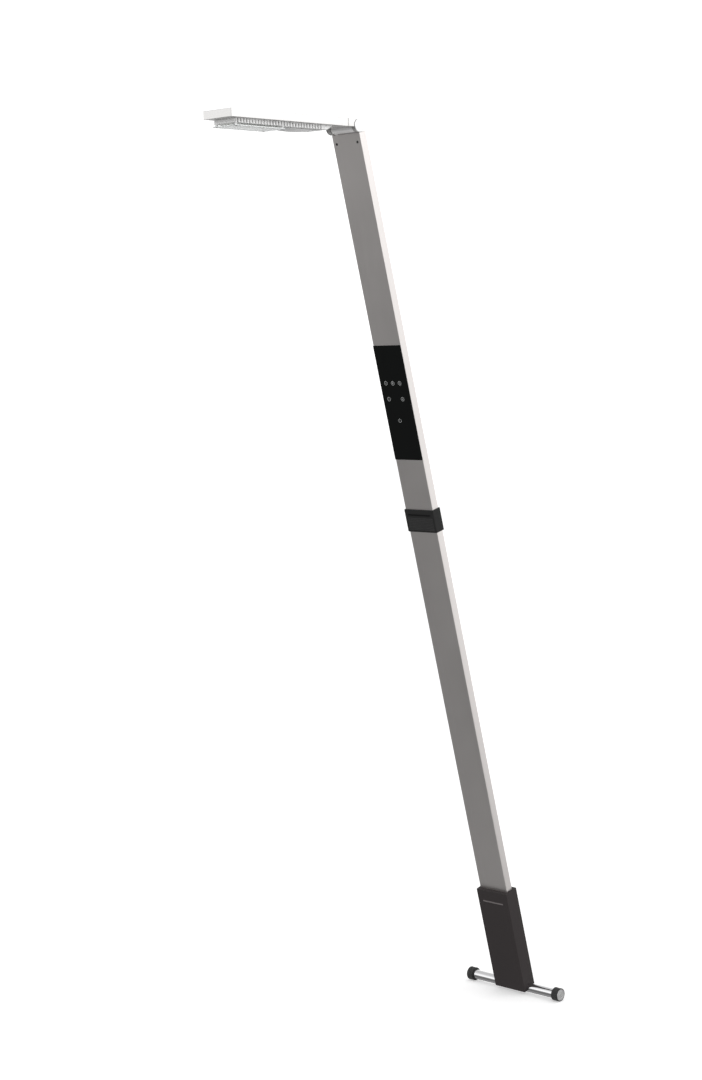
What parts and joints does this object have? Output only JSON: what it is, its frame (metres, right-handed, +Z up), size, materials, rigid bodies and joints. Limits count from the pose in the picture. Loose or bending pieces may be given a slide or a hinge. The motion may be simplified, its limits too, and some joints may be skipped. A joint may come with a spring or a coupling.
{
  "type": "leaning floor lamp",
  "caption": "Slim cordless floor lamp: a flat leaning mast on a cross-bar foot, a sliding rest collar, a touch panel and a tilting LED head with a finned underside.",
  "frame": {"origin": "on the floor, under the middle of the foot bar's axis", "axes": "+Z up; X along the foot bar; the mast leans and the head reaches towards -Y"},
  "size_m": [0.1828, 0.6456, 1.3228],
  "materials": {
    "mast_grey": "fine satin anodised",
    "hinge_silver": "satin anodised",
    "dark_steel": "black oxide",
    "loom_grey": "matt",
    "panel_glass": "gloss black cover glass",
    "board_green": "solder mask",
    "board_white": "white solder mask",
    "foam_black": "closed-cell foam",
    "foot_black": "fine matt",
    "zinc_casting": "black e-coat",
    "bar_chrome": "polished",
    "cap_rubber": "fine knurl",
    "disc_silver": "turned",
    "cell_wrap": "shrink wrap",
    "contact_nickel": "nickel plate",
    "cradle_black": "moulded",
    "collar_black": "fine matt",
    "grip_rubber": "ribbed",
    "head_silver": "fine satin anodised",
    "sink_silver": "satin",
    "led_yellow": "phosphor",
    "lens_clear": "polished",
    "cover_grey": "satin",
    "cheek_black": "dark satin",
    "shaft_steel": "ground",
    "washer_black": "acetal"
  },
  "bodies": {
    "stand": {"mast_tube": "mast_grey", "hinge_knuckle": "hinge_silver", "hinge_screws": "dark_steel", "wire_loom": "loom_grey", "control_glass": "panel_glass", "touch_board": "board_green", "touch_spacer": "foam_black", "foot_housing": "foot_black", "front_ledge": "foot_black", "bar_saddle": "zinc_casting", "foot_bar": "bar_chrome", "bar_screws": "dark_steel", "rubber_cap_left": "cap_rubber", "rubber_cap_right": "cap_rubber", "cap_discs": "disc_silver", "battery_cells": "cell_wrap", "cell_contacts": "contact_nickel", "cell_cradle": "cradle_black", "foot_back_cover": "foot_black", "cover_screws": "dark_steel", "charge_socket": "contact_nickel", "charge_board": "board_green", "mast_socket": "cradle_black", "mast_screws": "dark_steel"},
    "collar": {"collar_sleeve": "collar_black", "collar_grip_pad": "grip_rubber"},
    "head": {"head_housing": "head_silver", "head_floor": "head_silver", "floor_screws": "dark_steel", "screw_posts": "cradle_black", "driver_board": "board_green", "heat_sink": "sink_silver", "led_board": "board_white", "led_chips": "led_yellow", "lens_plate": "lens_clear", "lens_spacers": "sink_silver", "lens_screws": "dark_steel", "driver_cover": "cover_grey", "head_rear_block": "head_silver", "hinge_cheek_left": "cheek_black", "hinge_cheek_right": "cheek_black", "hinge_shaft": "shaft_steel", "shaft_nuts": "dark_steel", "friction_washers": "washer_black", "hinge_caps": "disc_silver"}
  },
  "joints": [
    {"name": "head_tilt", "type": "hinge", "parent": "stand", "child": "head", "pos_m": [0, -0.38869, 1.31358], "axis": [1, 0, 0], "range_deg": [-75, 75]},
    {"name": "collar_slide", "type": "slide", "parent": "stand", "child": "collar", "axis": [0, -0.2823, 0.9593], "range_m": [-0.58, 0.075]}
  ]
}
